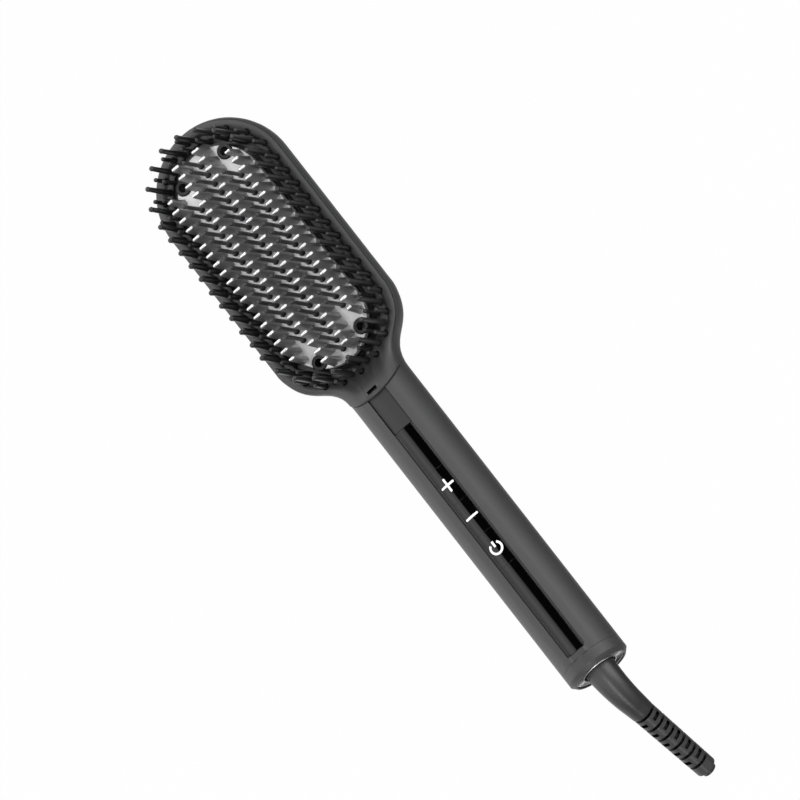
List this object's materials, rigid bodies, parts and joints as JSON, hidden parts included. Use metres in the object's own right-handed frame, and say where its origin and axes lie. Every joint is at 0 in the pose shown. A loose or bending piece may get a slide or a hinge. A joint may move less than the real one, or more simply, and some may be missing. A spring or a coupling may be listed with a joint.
{
  "type": "heated hair straightening brush",
  "caption": "Hand-held heated straightening brush with a finned metal plate between nylon bristles, a gloss control strip with press keys, and a swivelling cord outlet.",
  "frame": {"origin": "on the flat back of the head, under the middle of the heating plate, in the plane of symmetry", "axes": "+X from the head along the handle towards the cord, +Z the way the bristles point, away from the flat back; +Y completes a right-handed frame"},
  "size_m": [0.3501, 0.064, 0.0761],
  "materials": {
    "housing_front": "matte soft-touch dark grey",
    "housing_rear": "matte soft-touch dark grey",
    "housing_cap": "matte soft-touch dark grey",
    "bright_ring": "satin bright metal",
    "dark_vent": "matte black",
    "insert_matte": "fine matte dark grey",
    "gloss_strip": "high gloss black",
    "white_mark": "white",
    "switch_black": "matte black",
    "plate_silver": "satin coated, tips polished",
    "bristle_black": "satin black nylon",
    "tray_black": "matte black",
    "screw_steel": "zinc plated",
    "ceramic": "white alumina",
    "spring_steel": "plain",
    "mica": "mica sheet",
    "glass_bead": "clear",
    "lead_sleeve": "glass-fibre sleeve",
    "frame_grey": "plain moulded",
    "board_green": "solder resist",
    "display_dark": "smoked lens",
    "capacitor_yellow": "epoxy coat",
    "choke_ferrite": "ferrite",
    "brass": "plain",
    "elbow_rubber": "smooth satin black rubber",
    "relief_rubber": "satin black rubber"
  },
  "bodies": {
    "housing": {"capacitor": "capacitor_yellow", "chassis": "frame_grey", "choke": "choke_ferrite", "contact_block": "frame_grey", "contact_springs": "brass", "control_board": "board_green", "control_strip": "gloss_strip", "display_module": "display_dark", "end_cap": "housing_cap", "end_ring": "bright_ring", "front_shell": "housing_front", "head_screws": "screw_steel", "heater_clamp": "spring_steel", "heater_leads": "lead_sleeve", "heating_plate": "plate_silver", "inner_bristles": "bristle_black", "insulation_sheet": "mica", "ion_emitter": "frame_grey", "ion_generator": "switch_black", "key_lights": "glass_bead", "left_heater": "ceramic", "mains_leads": "lead_sleeve", "microcontroller": "switch_black", "neck_insert": "insert_matte", "neck_vent": "dark_vent", "plate_tray": "tray_black", "power_board": "board_green", "rear_shell": "housing_rear", "right_heater": "ceramic", "rim_bristles": "bristle_black", "sensor_lead": "lead_sleeve", "switch_bodies": "switch_black", "thermal_fuse": "spring_steel", "thermistor": "glass_bead", "triac": "switch_black"},
    "cord_swivel_body": {"swivel_core": "frame_grey", "slip_rings": "brass", "swivel_elbow": "elbow_rubber", "strain_relief": "relief_rubber"},
    "plus_button": {"plus_key": "gloss_strip", "plus_mark": "white_mark", "plus_plunger": "switch_black"},
    "minus_button": {"minus_key": "gloss_strip", "minus_mark": "white_mark", "minus_plunger": "switch_black"},
    "power_button": {"power_key": "gloss_strip", "power_mark": "white_mark", "power_plunger": "switch_black"}
  },
  "joints": [
    {"name": "cord_swivel", "type": "hinge", "parent": "housing", "child": "cord_swivel_body", "pos_m": [0.226, 0, 0.0156], "axis": [1, 0, 0], "continuous": true},
    {"name": "plus_press", "type": "slide", "parent": "housing", "child": "plus_button", "axis": [0, 0, -1], "range_m": [0, 0.0004], "stiffness_N_per_m": 1500, "springref_m": -0.0004},
    {"name": "minus_press", "type": "slide", "parent": "housing", "child": "minus_button", "axis": [0, 0, -1], "range_m": [0, 0.0004], "stiffness_N_per_m": 1500, "springref_m": -0.0004},
    {"name": "power_press", "type": "slide", "parent": "housing", "child": "power_button", "axis": [0, 0, -1], "range_m": [0, 0.0004], "stiffness_N_per_m": 1500, "springref_m": -0.0004}
  ]
}
